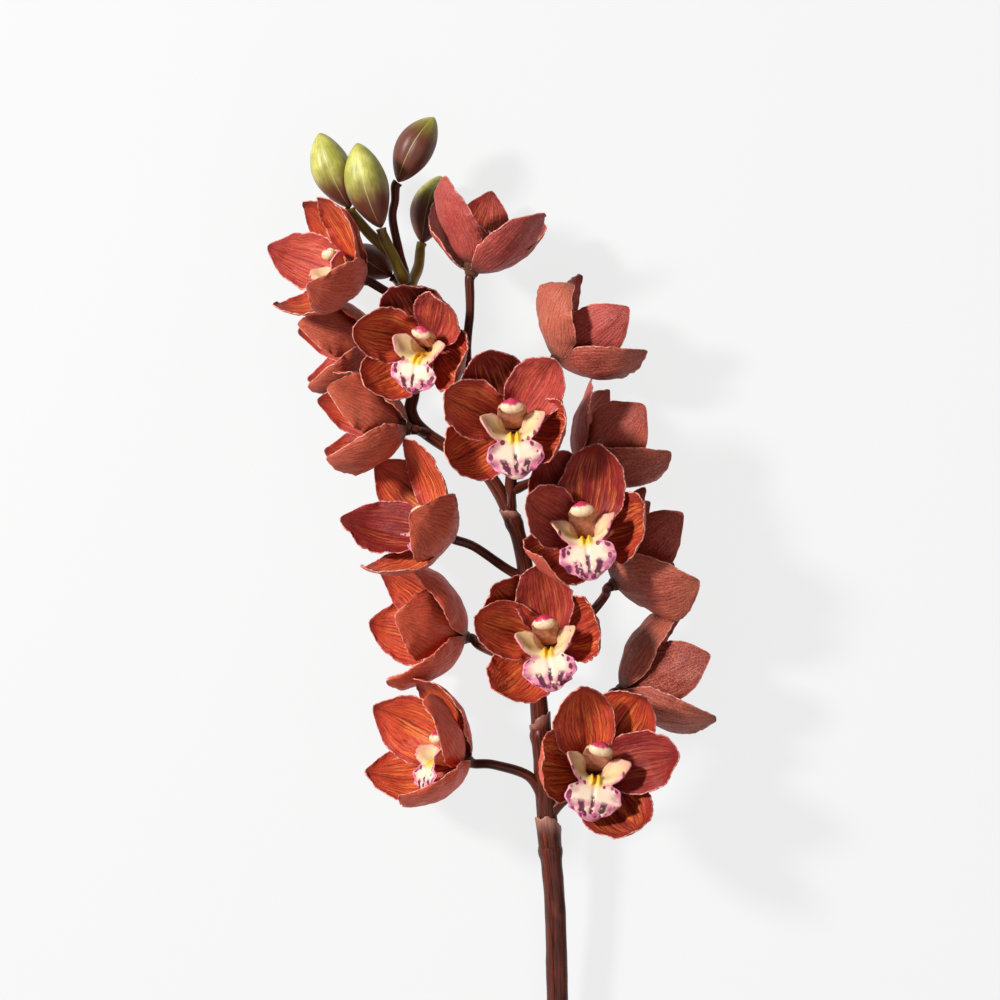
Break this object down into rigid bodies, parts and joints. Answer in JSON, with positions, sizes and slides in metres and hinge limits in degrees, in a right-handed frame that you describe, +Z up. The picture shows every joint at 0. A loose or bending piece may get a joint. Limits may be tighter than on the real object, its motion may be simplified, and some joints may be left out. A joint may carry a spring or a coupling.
{
  "type": "cymbidium orchid stem",
  "caption": "Cut stem of cymbidium orchid with rust-red blooms, cream lips and green buds, lying on its back.",
  "frame": {"origin": "bottom centre of the spray's box, on the surface it lies on", "axes": "+Y along the stem towards the buds at its tip, +Z up from the surface to the side that the blooms show, +X across the spray"},
  "size_m": [0.2464, 0.6439, 0.1199],
  "materials": {
    "tepals": "satin",
    "lip": "satin",
    "column": "satin",
    "bud": "satin",
    "stem": "satin"
  },
  "bodies": {
    "root": {"bloom_01_tepals": "tepals", "bloom_01_lip": "lip", "bloom_01_column": "column", "bloom_02_tepals": "tepals", "bloom_02_lip": "lip", "bloom_02_column": "column", "bloom_03_tepals": "tepals", "bloom_03_lip": "lip", "bloom_03_column": "column", "bloom_04_tepals": "tepals", "bloom_04_lip": "lip", "bloom_04_column": "column", "bloom_05_tepals": "tepals", "bloom_05_lip": "lip", "bloom_05_column": "column", "bloom_06_tepals": "tepals", "bloom_06_lip": "lip", "bloom_06_column": "column", "bloom_07_tepals": "tepals", "bloom_07_lip": "lip", "bloom_07_column": "column", "bloom_08_tepals": "tepals", "bloom_08_lip": "lip", "bloom_08_column": "column", "bloom_09_tepals": "tepals", "bloom_09_lip": "lip", "bloom_09_column": "column", "bloom_10_tepals": "tepals", "bloom_10_lip": "lip", "bloom_10_column": "column", "bloom_11_tepals": "tepals", "bloom_11_lip": "lip", "bloom_11_column": "column", "bloom_12_tepals": "tepals", "bloom_12_lip": "lip", "bloom_12_column": "column", "bloom_13_tepals": "tepals", "bloom_13_lip": "lip", "bloom_13_column": "column", "bloom_14_tepals": "tepals", "bloom_14_lip": "lip", "bloom_14_column": "column", "bloom_15_tepals": "tepals", "bloom_15_lip": "lip", "bloom_15_column": "column", "bloom_16_tepals": "tepals", "bloom_16_lip": "lip", "bloom_16_column": "column", "bud_1": "bud", "bud_2": "bud", "bud_3": "bud", "bud_4": "bud", "bud_5": "bud", "stem": "stem"}
  },
  "joints": []
}
